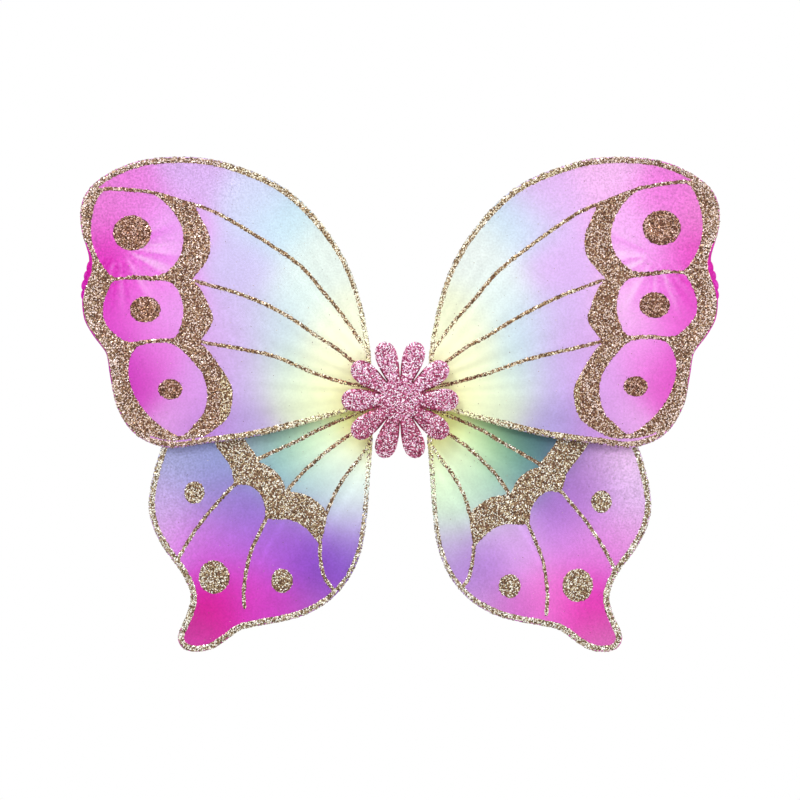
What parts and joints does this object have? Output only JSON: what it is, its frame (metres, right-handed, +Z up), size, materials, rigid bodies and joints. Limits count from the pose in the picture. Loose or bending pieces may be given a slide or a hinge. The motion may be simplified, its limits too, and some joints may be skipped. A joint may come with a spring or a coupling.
{
  "type": "costume fairy wings",
  "caption": "Butterfly-shaped costume wings of sheer fabric on bent wire loops, with glitter veins and dots, a foam flower at the centre and elastic shoulder loops behind.",
  "frame": {"origin": "the middle of the pad's rear face, where the wings rest on the wearer's back", "axes": "+Z up, +Y towards the wearer, +X the wearer's right"},
  "size_m": [0.4794, 0.0204, 0.3717],
  "materials": {
    "wire": "drawn steel wire",
    "upper_fabric": "sheer dyed nylon knit, gradient",
    "lower_fabric": "sheer dyed nylon knit, gradient",
    "gold_glitter": "champagne flake glitter in clear glue",
    "pink_glitter": "foam sheet faced with pink flake glitter",
    "thread": "wound white thread",
    "tape": "cloth tape",
    "glue": "set hot-melt glue",
    "felt": "pressed felt",
    "foam": "soft closed-cell foam",
    "elastic": "woven white elastic"
  },
  "bodies": {
    "hub": {"pad_cover": "felt", "back_pad": "foam", "wire_binding": "tape", "glue_spot": "glue", "front_flower": "pink_glitter", "upper_left_tail_top": "wire", "upper_left_tail_bottom": "wire", "lower_left_tail_top": "wire", "lower_left_tail_bottom": "wire", "left_strap_anchor": "elastic", "upper_right_tail_top": "wire", "upper_right_tail_bottom": "wire", "lower_right_tail_top": "wire", "lower_right_tail_bottom": "wire", "right_strap_anchor": "elastic"},
    "upper_left_wing": {"upper_left_frame": "wire", "upper_left_sleeve": "upper_fabric", "upper_left_glitter": "gold_glitter", "upper_left_tie": "thread", "upper_left_top_dot": "gold_glitter", "upper_left_middle_dot": "gold_glitter", "upper_left_bottom_dot": "gold_glitter"},
    "lower_left_wing": {"lower_left_frame": "wire", "lower_left_sleeve": "lower_fabric", "lower_left_glitter": "gold_glitter", "lower_left_tie": "thread", "lower_left_side_dot": "gold_glitter", "lower_left_tail_dot": "gold_glitter", "lower_left_inner_dot": "gold_glitter"},
    "upper_right_wing": {"upper_right_frame": "wire", "upper_right_sleeve": "upper_fabric", "upper_right_glitter": "gold_glitter", "upper_right_tie": "thread", "upper_right_top_dot": "gold_glitter", "upper_right_middle_dot": "gold_glitter", "upper_right_bottom_dot": "gold_glitter"},
    "lower_right_wing": {"lower_right_frame": "wire", "lower_right_sleeve": "lower_fabric", "lower_right_glitter": "gold_glitter", "lower_right_tie": "thread", "lower_right_side_dot": "gold_glitter", "lower_right_tail_dot": "gold_glitter", "lower_right_inner_dot": "gold_glitter"},
    "left_strap_loop": {"left_strap": "elastic"},
    "right_strap_loop": {"right_strap": "elastic"}
  },
  "joints": [
    {"name": "left_fold", "type": "hinge", "parent": "hub", "child": "upper_left_wing", "pos_m": [-0.0143, -0.012, 0], "axis": [0, 0, 1], "range_deg": [0, 60], "deforming": ["front_flower"]},
    {"name": "left_lower_fold", "type": "hinge", "parent": "hub", "child": "lower_left_wing", "pos_m": [-0.0143, -0.007, 0], "axis": [0, 0, 1], "range_deg": [0, 48], "deforming": ["front_flower"]},
    {"name": "right_fold", "type": "hinge", "parent": "hub", "child": "upper_right_wing", "pos_m": [0.0143, -0.012, 0], "axis": [0, 0, -1], "range_deg": [0, 60], "deforming": ["front_flower"]},
    {"name": "right_lower_fold", "type": "hinge", "parent": "hub", "child": "lower_right_wing", "pos_m": [0.0143, -0.007, 0], "axis": [0, 0, -1], "range_deg": [0, 48], "deforming": ["front_flower"]},
    {"name": "left_strap_swing", "type": "hinge", "parent": "hub", "child": "left_strap_loop", "pos_m": [-0.0193, -0.004, 0.007], "axis": [0, 0, -1], "range_deg": [0, 85]},
    {"name": "right_strap_swing", "type": "hinge", "parent": "hub", "child": "right_strap_loop", "pos_m": [0.0193, -0.004, 0.007], "axis": [0, 0, 1], "range_deg": [0, 85]}
  ],
  "couplings": [
    {"joint": "left_lower_fold", "follows": "left_fold", "ratio": 0.8},
    {"joint": "right_lower_fold", "follows": "right_fold", "ratio": 0.8}
  ]
}
